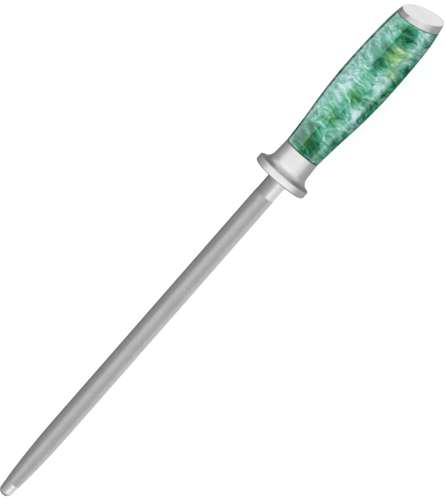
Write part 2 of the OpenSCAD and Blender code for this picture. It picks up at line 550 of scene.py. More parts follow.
@dataclass(frozen=True)
class ResinFinish:
    """Cast resin marbled in greens, with folds of pearl pigment, polished to a high gloss.

    Attributes:
        layers: The folds of pearl pigment, from the broadest to the smallest.
        dyes: The pools that change its tone.
        lime: The pools that turn its green to lime.
        ramps: The colours: the resin's greens, its lime pools and its bluish pearl.
        full: Part of a pool's reach in which it keeps its full strength.
        stir: How far stirring moved the pattern, in mm.
        eddies: Eddies of the stirring to the millimetre.
        drift: Slow changes of tone to the millimetre.
        bluish: Patches of bluish pearl to the millimetre.
        rough: Roughness of the polish.
        index: Refractive index of the resin.
    """

    layers: tuple[StreakLayer, ...] = (
        StreakLayer("Broad folds", 0.07, 0.34, 0.07, 0.5, 0.012, 0.9, 0.25),
        StreakLayer("Small folds", 0.14, 0.7, 0.12, 0.7, 0.02, 0.65, 0.25),
    )
    dyes: tuple[Dye, ...] = (
        Dye((33.0, -1.2, 12.5), 13.0, 0.2, 0.8),
        Dye((28.0, -10.2, 6.7), 12.0, 0.04, 0.9),
        Dye((45.0, -12.9, 4.5), 8.0, 0.78, 0.6),
        Dye((55.0, -10.5, 10.5), 8.0, 0.2, 0.55),
        Dye((62.0, -14.9, 3.5), 6.5, 0.8, 0.55),
        Dye((68.5, -12.5, 8.5), 5.0, 0.12, 0.65),
        Dye((78.0, -13.5, 8.0), 8.0, 0.72, 0.55),
        Dye((84.0, -15.7, 2.9), 8.0, 0.85, 0.5),
        Dye((91.0, -10.0, 12.0), 6.0, 0.2, 0.6),
        Dye((102.0, -9.0, 12.5), 6.0, 0.12, 0.6),
        Dye((113.0, -12.0, 8.0), 9.0, 0.1, 0.75),
        Dye((121.0, -13.5, 0.0), 8.0, 0.92, 0.7),
        Dye((76.0, -3.0, 14.5), 16.0, 0.8, 0.5),
    )
    lime: tuple[Dye, ...] = (
        Dye((102.0, -13.5, 6.4), 8.5, 1.0, 0.85),
        Dye((92.0, -15.0, 1.0), 6.5, 1.0, 0.6),
        Dye((30.0, -6.0, 10.0), 6.0, 1.0, 0.4),
        Dye((68.0, -12.0, 9.0), 6.0, 1.0, 0.35),
        Dye((50.0, -9.5, 9.5), 5.0, 1.0, 0.3),
    )
    ramps: tuple[Ramp, Ramp, Ramp] = (
        Ramp(
            "Emerald to pearl",
            (
                (0.0, (0.002, 0.065, 0.02)),
                (0.2, (0.007, 0.155, 0.052)),
                (0.4, (0.03, 0.29, 0.135)),
                (0.6, (0.1, 0.43, 0.27)),
                (0.8, (0.24, 0.59, 0.45)),
                (1.0, (0.6, 0.78, 0.78)),
            ),
        ),
        Ramp(
            "Lime to cream",
            ((0.0, (0.06, 0.23, 0.05)), (0.5, (0.26, 0.52, 0.21)), (1.0, (0.58, 0.8, 0.44))),
        ),
        Ramp(
            "Teal to lavender",
            ((0.0, (0.006, 0.12, 0.07)), (0.5, (0.08, 0.37, 0.29)), (1.0, (0.54, 0.72, 0.8))),
        ),
    )
    full: float = 0.35
    stir: float = 9.0
    eddies: float = 0.07
    drift: float = 0.055
    bluish: float = 0.11
    rough: float = 0.07
    index: float = 1.54

    def material(self) -> bpy.types.Material:
        """Builds the node tree of the finish.

        Returns:
            The material.
        """
        material, place, shader = begin(Slot.RESIN, "Polished resin", 13000)
        tree = material.node_tree
        stirred, way_round = self._stirred(tree, place)
        tone = self._dyed(tree, stirred)
        for level, layer in enumerate(self.layers):
            tone = self._folded(tree, stirred, way_round, tone, layer, -400 * (level + 1))
        colour = self._coloured(tree, stirred, tone)
        shader.inputs["Roughness"].default_value = self.rough
        shader.inputs["IOR"].default_value = self.index
        tree.links.new(colour, shader.inputs["Base Color"])
        return material

    def _stirred(
        self, tree: bpy.types.NodeTree, place: bpy.types.NodeSocket
    ) -> tuple[bpy.types.NodeSocket, bpy.types.NodeSocket]:
        """Adds the stirring of the casting.

        Args:
            tree: The resin's node tree.
            place: The place on the piece.

        Returns:
            The place where the resin came from, and the direction round the handle.
        """
        nodes = tree.nodes
        links = tree.links
        place_frame = nodes.new("NodeFrame")
        place_frame.label = "Place in the casting"
        eddies = nodes.new("ShaderNodeTexNoise")
        eddies.label = "Eddies"
        eddies.inputs["Scale"].default_value = self.eddies
        eddies.inputs["Detail"].default_value = 2.0
        links.new(place, eddies.inputs["Vector"])
        centred = nodes.new("ShaderNodeVectorMath")
        centred.label = "Eddies about zero"
        centred.operation = "SUBTRACT"
        centred.inputs[1].default_value = (0.5, 0.5, 0.5)
        links.new(eddies.outputs["Color"], centred.inputs[0])
        stirred = nodes.new("ShaderNodeVectorMath")
        stirred.label = "Stirred place"
        stirred.operation = "MULTIPLY_ADD"
        stirred.inputs[1].default_value = (self.stir, self.stir, self.stir)
        links.new(centred.outputs["Vector"], stirred.inputs[0])
        links.new(place, stirred.inputs[2])
        sideways = nodes.new("ShaderNodeVectorMath")
        sideways.label = "Way round the handle"
        sideways.operation = "CROSS_PRODUCT"
        sideways.inputs[0].default_value = (1.0, 0.0, 0.0)
        links.new(place, sideways.inputs[1])
        way_round = nodes.new("ShaderNodeVectorMath")
        way_round.label = "Its direction"
        way_round.operation = "NORMALIZE"
        links.new(sideways.outputs["Vector"], way_round.inputs[0])
        row = (eddies, centred, stirred, sideways, way_round)
        for column, node in enumerate(row):
            node.parent = place_frame
            node.location = (300 * column, 0)
        return stirred.outputs["Vector"], way_round.outputs["Vector"]

    def _dyed(
        self, tree: bpy.types.NodeTree, stirred: bpy.types.NodeSocket
    ) -> bpy.types.NodeSocket:
        """Adds the slow drift of tone and the dyes that change it.

        Args:
            tree: The resin's node tree.
            stirred: The stirred place.

        Returns:
            The tone, from 0 to 1.
        """
        nodes = tree.nodes
        links = tree.links
        tone_frame = nodes.new("NodeFrame")
        tone_frame.label = "Tone of the marbling"
        cloud = nodes.new("ShaderNodeTexNoise")
        cloud.label = "Slow drift of tone"
        cloud.inputs["Scale"].default_value = self.drift
        cloud.inputs["Detail"].default_value = 2.0
        links.new(stirred, cloud.inputs["Vector"])
        drift = nodes.new("ShaderNodeMapRange")
        drift.label = "Middle tones"
        for name, value in zip(RANGE, (0.3, 0.7, 0.4, 0.72)):
            drift.inputs[name].default_value = value
        links.new(cloud.outputs["Fac"], drift.inputs["Value"])
        tone = drift.outputs["Result"]
        for column, node in enumerate((cloud, drift)):
            node.parent = tone_frame
            node.location = (300 * column + 1500, 0)
        for level, dye in enumerate(self.dyes):
            left = 2100 + 600 * level
            pool = self._pool(tree, stirred, dye, (left, 300))
            dyed = nodes.new("ShaderNodeMix")
            dyed.label = "Dyed tone"
            dyed.data_type = "FLOAT"
            dyed.location = (left + 400, 0)
            dyed.parent = tone_frame
            dyed.inputs["B"].default_value = dye.tone
            links.new(pool, dyed.inputs["Factor"])
            links.new(tone, dyed.inputs["A"])
            tone = dyed.outputs["Result"]
        return tone

    def _folded(
        self,
        tree: bpy.types.NodeTree,
        stirred: bpy.types.NodeSocket,
        way_round: bpy.types.NodeSocket,
        tone: bpy.types.NodeSocket,
        layer: StreakLayer,
        top: int,
    ) -> bpy.types.NodeSocket:
        """Adds one layer of folds with its streaks.

        Args:
            tree: The resin's node tree.
            stirred: The stirred place.
            way_round: The direction round the handle.
            tone: The tone under the layer.
            layer: The layer.
            top: Where its nodes stand in the tree.

        Returns:
            The tone with the layer.
        """
        nodes = tree.nodes
        links = tree.links
        folds_frame = nodes.new("NodeFrame")
        folds_frame.label = layer.name
        folds = nodes.new("ShaderNodeTexVoronoi")
        folds.label = "Folds"
        folds.inputs["Scale"].default_value = layer.folds
        links.new(stirred, folds.inputs["Vector"])
        chance = nodes.new("ShaderNodeSeparateColor")
        chance.label = "Each fold's own chances"
        links.new(folds.outputs["Color"], chance.inputs["Color"])
        inside = nodes.new("ShaderNodeVectorMath")
        inside.label = "Place in the fold"
        inside.operation = "SUBTRACT"
        links.new(stirred, inside.inputs[0])
        links.new(folds.outputs["Position"], inside.inputs[1])
        axes = nodes.new("ShaderNodeSeparateXYZ")
        axes.label = "Along the handle"
        links.new(inside.outputs["Vector"], axes.inputs["Vector"])
        round_it = nodes.new("ShaderNodeVectorMath")
        round_it.label = "Round the handle"
        round_it.operation = "DOT_PRODUCT"
        links.new(inside.outputs["Vector"], round_it.inputs[0])
        links.new(way_round, round_it.inputs[1])
        lean = nodes.new("ShaderNodeMapRange")
        lean.label = "Lean of the streaks"
        for name, value in zip(RANGE, (0.0, 1.0, -layer.lean, layer.lean)):
            lean.inputs[name].default_value = value
        links.new(chance.outputs["Red"], lean.inputs["Value"])
        flat = nodes.new("ShaderNodeCombineXYZ")
        flat.label = "Flat place in the fold"
        links.new(axes.outputs["X"], flat.inputs["X"])
        links.new(round_it.outputs["Value"], flat.inputs["Y"])
        turned = nodes.new("ShaderNodeVectorRotate")
        turned.label = "Turned to the streaks"
        turned.rotation_type = "Z_AXIS"
        links.new(flat.outputs["Vector"], turned.inputs["Vector"])
        links.new(lean.outputs["Result"], turned.inputs["Angle"])
        ways = nodes.new("ShaderNodeSeparateXYZ")
        ways.label = "Across and along a streak"
        links.new(turned.outputs["Vector"], ways.inputs["Vector"])
        square = nodes.new("ShaderNodeMath")
        square.label = "Far along a streak"
        square.operation = "MULTIPLY"
        links.new(ways.outputs["Y"], square.inputs[0])
        links.new(ways.outputs["Y"], square.inputs[1])
        curl = nodes.new("ShaderNodeMath")
        curl.label = "Curled like a feather"
        curl.operation = "MULTIPLY_ADD"
        curl.inputs[1].default_value = layer.curl
        links.new(square.outputs["Value"], curl.inputs[0])
        links.new(ways.outputs["X"], curl.inputs[2])
        streak_place = nodes.new("ShaderNodeCombineXYZ")
        streak_place.label = "Place among the streaks"
        links.new(curl.outputs["Value"], streak_place.inputs["X"])
        links.new(ways.outputs["Y"], streak_place.inputs["Y"])
        scaled = nodes.new("ShaderNodeVectorMath")
        scaled.label = "Narrow and long"
        scaled.operation = "MULTIPLY"
        scaled.inputs[1].default_value = (layer.across, layer.along, 1.0)
        links.new(streak_place.outputs["Vector"], scaled.inputs[0])
        apart = nodes.new("ShaderNodeVectorMath")
        apart.label = "Each fold its own"
        apart.operation = "MULTIPLY_ADD"
        apart.inputs[1].default_value = (40.0, 40.0, 40.0)
        links.new(folds.outputs["Color"], apart.inputs[0])
        links.new(scaled.outputs["Vector"], apart.inputs[2])
        streaks = nodes.new("ShaderNodeTexNoise")
        streaks.label = "Streaks"
        streaks.inputs["Scale"].default_value = 1.0
        streaks.inputs["Detail"].default_value = 2.5
        streaks.inputs["Roughness"].default_value = 0.55
        links.new(apart.outputs["Vector"], streaks.inputs["Vector"])
        strength = nodes.new("ShaderNodeMapRange")
        strength.label = "Tone of the streaks"
        for name, value in zip(RANGE, (0.2, 0.8, -layer.contrast / 2, layer.contrast / 2)):
            strength.inputs[name].default_value = value
        links.new(streaks.outputs["Fac"], strength.inputs["Value"])
        patch = nodes.new("ShaderNodeMapRange")
        patch.label = "Tone of the fold"
        for name, value in zip(RANGE, (0.0, 1.0, -layer.patch / 2, layer.patch / 2)):
            patch.inputs[name].default_value = value
        links.new(chance.outputs["Green"], patch.inputs["Value"])
        fold_tone = nodes.new("ShaderNodeMath")
        fold_tone.label = "Fold and streaks"
        fold_tone.operation = "ADD"
        links.new(strength.outputs["Result"], fold_tone.inputs[0])
        links.new(patch.outputs["Result"], fold_tone.inputs[1])
        layered = nodes.new("ShaderNodeMath")
        layered.label = "Added to the marbling"
        layered.operation = "ADD"
        links.new(fold_tone.outputs["Value"], layered.inputs[0])
        links.new(tone, layered.inputs[1])
        row = (folds, chance, inside, axes, round_it, lean, flat, turned, ways, square, curl)
        row += (streak_place, scaled, apart, streaks, strength, patch, fold_tone, layered)
        for column, node in enumerate(row):
            node.parent = folds_frame
            node.location = (300 * column + 1500, top)
        return layered.outputs["Value"]

    def _coloured(
        self, tree: bpy.types.NodeTree, stirred: bpy.types.NodeSocket, tone: bpy.types.NodeSocket
    ) -> bpy.types.NodeSocket:
        """Turns the tone into colour.

        Args:
            tree: The resin's node tree.
            stirred: The stirred place.
            tone: The tone of the marbling.

        Returns:
            The colour.
        """
        nodes = tree.nodes
        links = tree.links
        colour_frame = nodes.new("NodeFrame")
        colour_frame.label = "Colour"
        ramps = []
        for ramp in self.ramps:
            painted = nodes.new("ShaderNodeValToRGB")
            painted.label = ramp.name
            links.new(tone, painted.inputs["Fac"])
            elements = painted.color_ramp.elements
            while len(elements) < len(ramp.stops):
                elements.new(1.0)
            for element, (position, colour) in zip(elements, ramp.stops):
                element.position = position
                element.color = (*colour, 1.0)
            ramps.append(painted)
        greens, limes, pearls = ramps
        hue = nodes.new("ShaderNodeTexNoise")
        hue.label = "Where the pearl is bluish"
        hue.inputs["Scale"].default_value = self.bluish
        hue.inputs["Detail"].default_value = 2.0
        links.new(stirred, hue.inputs["Vector"])
        bluish = nodes.new("ShaderNodeMapRange")
        bluish.label = "Its share"
        for name, value in zip(RANGE, (0.42, 0.66, 0.0, 0.65)):
            bluish.inputs[name].default_value = value
        links.new(hue.outputs["Fac"], bluish.inputs["Value"])
        base = nodes.new("ShaderNodeMix")
        base.label = "Green and bluish pearl"
        base.data_type = "RGBA"
        links.new(bluish.outputs["Result"], base.inputs["Factor"])
        links.new(greens.outputs["Color"], base.inputs["A"])
        links.new(pearls.outputs["Color"], base.inputs["B"])
        colour = base.outputs["Result"]
        for column, node in enumerate((hue, bluish, greens, limes, pearls, base)):
            node.parent = colour_frame
            node.location = (300 * column + 8000, -400)
        for level, dye in enumerate(self.lime):
            left = 9900 + 600 * level
            pool = self._pool(tree, stirred, dye, (left, -100))
            dyed = nodes.new("ShaderNodeMix")
            dyed.label = "Lime over green"
            dyed.data_type = "RGBA"
            dyed.location = (left + 400, -400)
            dyed.parent = colour_frame
            links.new(pool, dyed.inputs["Factor"])
            links.new(colour, dyed.inputs["A"])
            links.new(limes.outputs["Color"], dyed.inputs["B"])
            colour = dyed.outputs["Result"]
        return colour

    def _pool(
        self,
        tree: bpy.types.NodeTree,
        stirred: bpy.types.NodeSocket,
        dye: Dye,
        corner: tuple[float, float],
    ) -> bpy.types.NodeSocket:
        """Adds the spread of one dye to the node tree.

        Args:
            tree: The resin's node tree.
            stirred: The stirred place.
            dye: The dye.
            corner: Where its nodes stand in the tree.

        Returns:
            The dye's share, which falls to nothing at its reach.
        """
        nodes = tree.nodes
        links = tree.links
        pool_frame = nodes.new("NodeFrame")
        pool_frame.label = "Pool of dye"
        near = nodes.new("ShaderNodeVectorMath")
        near.label = "Distance from the dye"
        near.operation = "DISTANCE"
        near.inputs[1].default_value = dye.place
        links.new(stirred, near.inputs[0])
        share = nodes.new("ShaderNodeMapRange")
        share.label = "Share of the dye"
        share.interpolation_type = "SMOOTHSTEP"
        for name, value in zip(RANGE, (dye.reach * self.full, dye.reach, dye.strength, 0.0)):
            share.inputs[name].default_value = value
        links.new(near.outputs["Value"], share.inputs["Value"])
        for column, node in enumerate((near, share)):
            node.parent = pool_frame
            node.location = (corner[0] + 200 * column, corner[1])
        return share.outputs["Result"]


# ---------------------------------------------------------------------------------------------
# The steel's own assemblies
# ---------------------------------------------------------------------------------------------


@dataclass(frozen=True)
class Rod:
    """The rod with its tang, and the abrasive coat around it.

    Attributes:
        taper_length: Length over which the rod tapers towards its tip.
        taper_r: Radius of the long arc that tapers it.
        nose_r: Radius of the rounded nose.
        seat: How far the full diameter runs into the bolster.
        glue: Thickness of the epoxy around the tang.
        tang_edge: Chamfer on the tang's end.
        thread_length: Length of the tang's thread.
        groove: Width of the groove in front of the thread.
        thread_relief: Depth of that groove.
        edge: Width of the rounding on the coat's ends.
        taper_points: Points along the taper's outline.
        nose_points: Points round the nose's outline.
    """

    taper_length: float = 55.0
    taper_r: float = 570.0
    nose_r: float = 3.4
    seat: float = 6.0
    glue: float = 1.0
    tang_edge: float = 0.8
    thread_length: float = 18.0
    groove: float = 1.0
    thread_relief: float = 0.35
    edge: float = 0.1
    taper_points: int = 16
    nose_points: int = 12

    def build(self) -> list[bpy.types.Object]:
        """Makes the rod and its coat."""
        return [self._core(), self._coat()]

    def _radius(self) -> float:
        """Radius of the bare rod, in mm."""
        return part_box("rod_core")[1].y / MM

    def _tip(self) -> float:
        """Station of the rod's tip, in mm."""
        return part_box("rod_core")[0].x / MM

    def _taper(self, front: float, skin: float = 0.0) -> Outline:
        """Outline of the tapered stretch, from the full diameter to a station.

        Args:
            front: Station where the outline ends.
            skin: Thickness of what lies over the rod.

        Returns:
            The points from rear to front.
        """
        start = self._tip() + self.taper_length
        centre_r = self._radius() - self.taper_r
        sweep = math.asin((start - front) / self.taper_r)
        turned = [sweep * i / (self.taper_points - 1) for i in range(self.taper_points)]
        reach = self.taper_r + skin
        return [
            (start - self.taper_r * math.sin(a), centre_r + reach * math.cos(a)) for a in turned
        ]

    def _core(self) -> bpy.types.Object:
        """The rod from its nose to the end of its tang.

        Returns:
            The piece.
        """
        rod_r = self._radius()
        tip = self._tip()
        tang_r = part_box("tang_epoxy")[1].y / MM - self.glue
        tang_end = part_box("rod_core")[1].x / MM
        start = tip + self.taper_length
        nose = tip + self.nose_r
        reach = self.taper_r - self.nose_r
        angle = math.asin((start - nose) / reach)
        nose_centre = (nose, rod_r - self.taper_r + reach * math.cos(angle))
        nose_top = 90 + math.degrees(angle)
        thread = tang_end - self.thread_length
        groove_r = tang_r - self.thread_relief
        outline = [(tang_end, 0.0), (tang_end, tang_r - self.tang_edge)]
        outline += [(tang_end - self.tang_edge, tang_r), (thread + self.groove, tang_r)]
        outline += [(thread + self.groove, groove_r), (thread, groove_r), (thread, tang_r)]
        outline += [(self.seat, tang_r), (self.seat, rod_r), (0.0, rod_r)]
        outline += self._taper(start - self.taper_r * math.sin(angle))
        outline += arc(nose_centre, self.nose_r, nose_top, 180, self.nose_points)[1:]
        outline += [(tip, 0.0)]
        return turn("rod", outline, closed=False)

    def _coat(self) -> bpy.types.Object:
        """The coat, a thin sleeve that follows the rod's taper.

        Returns:
            The piece.
        """
        low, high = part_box("abrasive_coat")
        front, rear = low.x / MM, high.x / MM
        skin = high.y / MM - self._radius()
        outer = [(rear, self._radius() + skin)] + self._taper(front, skin)
        inner = [(rear, self._radius())] + self._taper(front)
        coat = turn("grit_coat", outer + inner[::-1])
        break_edges(coat, self.edge, 2)
        return coat


@dataclass(frozen=True)
class Bolster:
    """The cast bolster with its guard flange, and the liner behind it.

    Attributes:
        guard: Thickness of the guard.
        front_round: Rounding of the guard's front edge.
        rear_round: Rounding of its rear edge.
        neck_r: Radius of the neck at the fillet.
        fillet: Radius of the fillet behind the guard.
        length: Length of the bolster in front of the handle.
        fillet_cut: How far the fillet's centre stands in front of a full quarter.
        spigot_r: Radius of the spigot that enters the handle.
        tang_r: Radius of the tang's bore.
        rod_seat: Depth of the rod's seat.
        edge: Width of the rounding on its sharp edges.
        recess: How far the liner lies under the surface.
        fillet_points: Points round the fillet's outline.
        front_points: Points round the guard's front edge.
        rear_points: Points round its rear edge.
    """

    guard: float = 5.2
    front_round: float = 1.5
    rear_round: float = 0.6
    neck_r: float = 12.35
    fillet: float = 6.5
    length: float = 21.0
    fillet_cut: float = 0.2
    spigot_r: float = 7.0
    tang_r: float = 4.0
    rod_seat: float = 6.0
    edge: float = 0.25
    recess: float = 0.12
    fillet_points: int = 16
    front_points: int = 8
    rear_points: int = 6

    def build(self) -> list[bpy.types.Object]:
        """Makes the bolster and the liner."""
        return [self._casting(), self._liner()]

    def _casting(self) -> bpy.types.Object:
        """The bolster, bored for the rod and its tang.

        Returns:
            The piece.
        """
        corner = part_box("guard_bolster")[1]
        end, guard_r = corner.x / MM, corner.y / MM
        rod_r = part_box("rod_core")[1].y / MM
        liner_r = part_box("front_liner")[1].y / MM
        fillet = (self.guard + self.fillet - self.fillet_cut, self.neck_r + self.fillet)
        rear_edge = (self.guard - self.rear_round, guard_r - self.rear_round)
        front_edge = (self.front_round, guard_r - self.front_round)
        climb = 180 + math.degrees(math.asin((fillet[1] - rear_edge[1]) / self.fillet))
        outline = [(end, self.tang_r), (end, self.spigot_r), (self.length, self.spigot_r)]
        outline += [(self.length, liner_r)]
        outline += arc(fillet, self.fillet, 270, climb, self.fillet_points)
        outline += arc(rear_edge, self.rear_round, 0, 90, self.rear_points)
        outline += arc(front_edge, self.front_round, 90, 180, self.front_points)
        outline += [(0.0, rod_r), (self.rod_seat, rod_r), (self.rod_seat, self.tang_r)]
        bolster = turn("bolster", outline)
        break_edges(bolster, self.edge)
        return bolster

    def _liner(self) -> bpy.types.Object:
        """The thin fibre ring between the bolster and the resin.

        Returns:
            The piece.
        """
        low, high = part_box("front_liner")
        outer = high.y / MM - self.recess
        front, rear = low.x / MM, high.x / MM
        outline = [(rear, self.spigot_r), (rear, outer), (front, outer), (front, self.spigot_r)]
        return turn("front_fibre_ring", outline)


@dataclass(frozen=True)
class Handle:
    """The turned handle, its oblique end cap and the liner between them.

    Attributes:
        pivot: Where the handle's own axis leaves the rod's.
        droop: Angle between the two axes, in degrees.
        front_r: Radius at the bolster.
        belly_x: Where the handle is widest.
        belly_r: Radius there.
        waist_arc: Radius of the hollow stretch behind the bolster.
        swell_arc: Radius of the swelling up to the belly.
        rear_arc: Radius of the slow fall behind the belly.
        shoulder_x: Where that fall turns into the shoulder.
        shoulder_arc: Radius of the shoulder.
        end_taper: Taper of the last stretch, in degrees.
        joint_x: Where the cap's joint crosses the handle's axis.
        joint_lean: Lean of the joint, in degrees.
        face_x: Where the end face crosses the handle's axis.
        face_lean: Lean of the end face, in degrees.
        liner: Thickness of the rear liner.
        recess: How far that liner lies under the surface.
        edge: Width of the rounding on the resin's edges.
        cap_edge: Width of the rounding on the cap's edges.
        spigot_r: Radius of the bore for the bolster's spigot.
        plug_fit: Gap between the cap's plug and its pocket.
        hollow_x: Floor of the hollow in the plug.
        hollow_r: Radius of that hollow.
        past: How far blanks and bores run past what they meet.
        spans: Spans of the outline from end to end.
    """

    pivot: float = 21.0
    droop: float = 0.9
    front_r: float = 11.85
    belly_x: float = 82.0
    belly_r: float = 16.0
    waist_arc: float = 536.0
    swell_arc: float = 315.0
    rear_arc: float = 560.0
    shoulder_x: float = 113.0
    shoulder_arc: float = 90.0
    end_taper: float = 11.3
    joint_x: float = 125.0
    joint_lean: float = 15.0
    face_x: float = 130.0
    face_lean: float = 22.0
    liner: float = 0.4
    recess: float = 0.12
    edge: float = 0.12
    cap_edge: float = 0.2
    spigot_r: float = 7.0
    plug_fit: float = 0.3
    hollow_x: float = 119.0
    hollow_r: float = 8.0
    past: float = 12.0
    spans: int = 64

    def build(self) -> list[bpy.types.Object]:
        """Makes the resin, the rear liner and the cap."""
        return [self._resin(), self._rear_liner(), self._cap()]

    def _radius(self, station: float) -> float:
        """Radius of the handle's outer form.

        Args:
            station: Place along the handle's own axis, in mm.

        Returns:
            The radius there, in mm.
        """
        swell = self.belly_r - self.swell_arc
        gap = math.hypot(self.front_r - swell, self.pivot - self.belly_x)
        reach = self.waist_arc + self.swell_arc
        bearing = math.atan2(self.pivot - self.belly_x, self.front_r - swell)
        bearing += math.acos((reach**2 + gap**2 - self.waist_arc**2) / (2 * reach * gap))
        if station < self.belly_x + self.swell_arc * math.sin(bearing):
            centre_x = self.belly_x + reach * math.sin(bearing)
            centre_r = swell + reach * math.cos(bearing)
            return centre_r - math.sqrt(self.waist_arc**2 - (station - centre_x) ** 2)
        if station < self.belly_x:
            return swell + math.sqrt(self.swell_arc**2 - (station - self.belly_x) ** 2)
        if station < self.shoulder_x:
            fall = self.belly_r - self.rear_arc
            return fall + math.sqrt(self.rear_arc**2 - (station - self.belly_x) ** 2)
        turn_in = math.asin((self.shoulder_x - self.belly_x) / self.rear_arc)
        reach = self.rear_arc - self.shoulder_arc
        centre_x = self.belly_x + reach * math.sin(turn_in)
        centre_r = self.belly_r - self.rear_arc + reach * math.cos(turn_in)
        slope = math.radians(self.end_taper)
        cone_x = centre_x + self.shoulder_arc * math.sin(slope)
        if station < cone_x:
            return centre_r + math.sqrt(self.shoulder_arc**2 - (station - centre_x) ** 2)
        cone_r = centre_r + self.shoulder_arc * math.cos(slope)
        return cone_r - (station - cone_x) * math.tan(slope)

    def _barrel(self, name: str, front: float, skin: float = 0.0) -> bpy.types.Object:
        """The handle's outer form as one solid, in its place.

        Args:
            name: Name of the piece.
            front: Station where it starts.
            skin: How far it lies under the finished surface.

        Returns:
            The solid, which runs on past the end cap.
        """
        end = self.face_x + self.past
        stations = [end + (front - end) * i / self.spans for i in range(self.spans + 1)]
        surface = [(x, self._radius(x) - skin) for x in stations]
        piece = turn(name, [(end, 0.0), *surface, (front, 0.0)], closed=False)
        freeze(piece)
        piece.data.transform(self._lean())
        return piece

    def _lean(self) -> Matrix:
        """The turn of the handle's axis about its pivot."""
        to_pivot = Matrix.Translation(ALONG * self.pivot * MM)
        return to_pivot @ Matrix.Rotation(math.radians(self.droop), 4, "Y") @ to_pivot.inverted()

    def _plane(self, station: float, lean: float) -> tuple[Vector, Vector]:
        """A leaning plane across the handle.

        Args:
            station: Where it crosses the handle's axis, in mm.
            lean: How far it leans towards +Z, in degrees.

        Returns:
            A point of the plane, and its normal towards the cap.
        """
        place = self._lean()
        angle = math.radians(lean)
        normal = place.to_3x3() @ Vector((math.cos(angle), 0.0, math.sin(angle)))
        return place @ (ALONG * station * MM), normal

    def _resin(self) -> bpy.types.Object:
        """The resin, bored for the bolster's spigot, the tang, the washers and the cap's plug.

        Returns:
            The piece, in its place.
        """
        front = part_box("front_liner")[1].x / MM
        spigot_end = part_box("guard_bolster")[1].x / MM
        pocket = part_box("clamp_washer")[0].x / MM
        tang_bore_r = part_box("tang_epoxy")[1].y / MM
        pocket_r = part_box("cap_epoxy")[1].y / MM
        start, rear = self.pivot - self.past, self.face_x + self.past
        piece = self._barrel("resin_grip", start)
        slice_off(piece, ALONG * front * MM, -ALONG)
        slice_off(piece, *self._plane(self.joint_x - self.liner, self.joint_lean))
        bores = [(rear, 0.0), (rear, pocket_r), (pocket, pocket_r), (pocket, tang_bore_r)]
        bores += [(spigot_end, tang_bore_r), (spigot_end, self.spigot_r)]
        bores += [(start, self.spigot_r), (start, 0.0)]
        combine(piece, bores, Fit.BORE)
        break_edges(piece, self.edge, 2)
        return piece

    def _rear_liner(self) -> bpy.types.Object:
        """The thin fibre ring under the cap.

        Returns:
            The piece, in its place.
        """
        pocket_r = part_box("cap_epoxy")[1].y / MM
        start, rear = self.joint_x - 2 * self.past, self.face_x + self.past
        piece = self._barrel("rear_fibre_ring", self.joint_x - self.past, self.recess)
        slice_off(piece, *self._plane(self.joint_x, self.joint_lean))
        point, normal = self._plane(self.joint_x - self.liner, self.joint_lean)
        slice_off(piece, point, -normal)
        hole = [(rear, 0.0), (rear, pocket_r), (start, pocket_r), (start, 0.0)]
        combine(piece, hole, Fit.BORE)
        return piece

    def _cap(self) -> bpy.types.Object:
        """The cap with its hollow plug, cut level with the leaning end face.

        Returns:
            The piece, in its place.
        """
        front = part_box("end_cap")[0].x / MM
        plug_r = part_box("cap_epoxy")[1].y / MM - self.plug_fit
        start, rear = front - self.past, self.joint_x + self.past
        floor, hollow_r = self.hollow_x, self.hollow_r
        piece = self._barrel("steel_cap", self.joint_x - self.past)
        point, normal = self._plane(self.joint_x, self.joint_lean)
        slice_off(piece, point, -normal)
        combine(piece, [(rear, 0.0), (rear, plug_r), (front, plug_r), (front, 0.0)], Fit.JOIN)
        slice_off(piece, *self._plane(self.face_x, self.face_lean))
        hollow = [(floor, 0.0), (floor, hollow_r), (start, hollow_r), (start, 0.0)]
        combine(piece, hollow, Fit.BORE)
        break_edges(piece, self.cap_edge)
        return piece


# ---------------------------------------------------------------------------------------------
# The studio
# ---------------------------------------------------------------------------------------------


def look_at_rod(station: float, bearing: float, forward: float, distance: float) -> list[Vector]:
    """Finds where a light or the camera stands when it looks at a point of the rod's axis.

    Args:
        station: Where along the axis it looks, in mm.
        bearing: Its direction round the axis, in degrees. 0 is the camera's, and 90 is up and to
            the back.
        forward: Its lean along the axis towards the end cap, in degrees.
        distance: Its distance from the axis, in metres.

    Returns:
        Its place, and its unit vectors along the rod, across it and away from it.
    """
    round_it, lean = math.radians(bearing), math.radians(forward)
    rise = SLANT * (math.sin(round_it) + math.cos(round_it))
    depth = SLANT * (math.sin(round_it) - math.cos(round_it))
    away = Vector((0.0, depth, rise)) * math.cos(lean) + ALONG * math.sin(lean)
    along = (ALONG - away * away.x).normalized()
    return [ALONG * station * MM + away * distance, along, away.cross(along), away]


